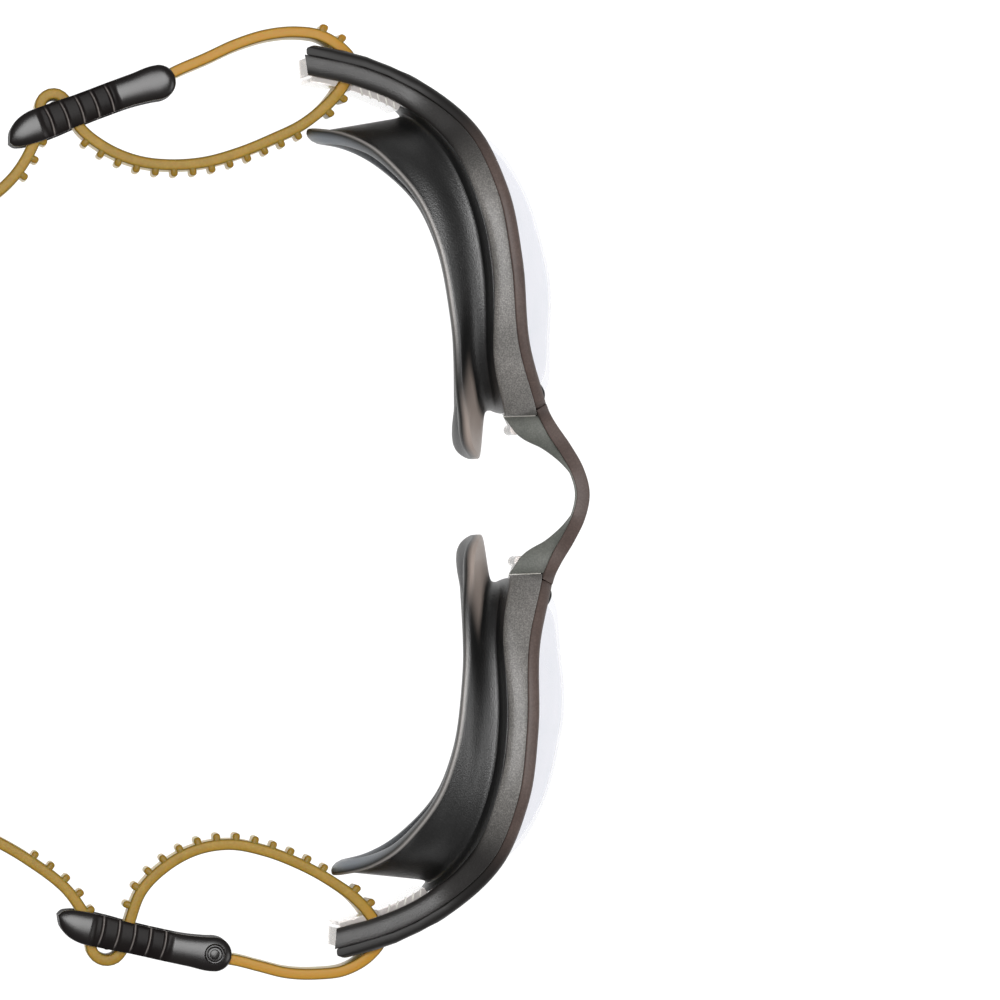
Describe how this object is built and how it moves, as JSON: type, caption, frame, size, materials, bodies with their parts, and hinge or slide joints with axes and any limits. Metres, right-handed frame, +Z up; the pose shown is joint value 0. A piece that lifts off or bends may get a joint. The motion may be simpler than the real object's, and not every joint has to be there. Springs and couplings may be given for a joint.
{
  "type": "swimming goggles",
  "caption": "Swimming goggles with clear domed lenses, soft flared eye seals, a soft nose bridge, and a studded rubber strap that adjusts in slim side buckles.",
  "frame": {"origin": "middle of the nose saddle, the inner face of the nose bridge on the part's middle plane, at the height of the middle of the lenses", "axes": "+X to the wearer's left, +Y from the lenses back towards the head, +Z up on the wearer"},
  "size_m": [0.1623, 0.1916, 0.042],
  "materials": {
    "clear_lens": "clear polished polycarbonate",
    "clear_frame": "clear moulded polycarbonate",
    "gasket": "matt",
    "bezel": "satin",
    "soft_cover": "fine-grained satin",
    "eye_seal": "satin",
    "strap": "translucent moulded silicone",
    "buckle": "polished",
    "buckle_pin": "polished"
  },
  "bodies": {
    "goggles_frame": {"left_lens": "clear_lens", "right_lens": "clear_lens", "left_lens_gasket": "gasket", "right_lens_gasket": "gasket", "left_clear_frame": "clear_frame", "right_clear_frame": "clear_frame", "left_bezel": "bezel", "right_bezel": "bezel", "left_frame_cover": "soft_cover", "right_frame_cover": "soft_cover", "left_eye_seal": "eye_seal", "right_eye_seal": "eye_seal", "nose_bridge_band": "bezel", "nose_bridge_web": "soft_cover", "left_strap_wrap": "strap", "right_strap_wrap": "strap"},
    "strap": {"left_strap_end": "strap", "right_strap_end": "strap", "left_strap_run": "strap", "right_strap_run": "strap", "head_strap": "strap"},
    "left_buckle_set": {"left_buckle": "buckle", "left_buckle_pin": "buckle_pin", "left_strap_turn": "strap"},
    "right_buckle_set": {"right_buckle": "buckle", "right_buckle_pin": "buckle_pin", "right_strap_turn": "strap"}
  },
  "joints": [
    {"name": "strap_swing", "type": "hinge", "parent": "goggles_frame", "child": "strap", "pos_m": [0, 0.0387, 0], "axis": [1, 0, 0], "range_deg": [-10, 35]},
    {"name": "left_buckle_tilt", "type": "hinge", "parent": "strap", "child": "left_buckle_set", "pos_m": [0.0721, 0.06773, -0.00195], "axis": [0, 0.0672, 0.9977], "range_deg": [-10, 10], "stiffness_Nm_per_rad": 0.002},
    {"name": "right_buckle_tilt", "type": "hinge", "parent": "strap", "child": "right_buckle_set", "pos_m": [-0.0761, 0.06324, -0.00165], "axis": [0, 0.0672, 0.9977], "range_deg": [-10, 10], "stiffness_Nm_per_rad": 0.002}
  ]
}
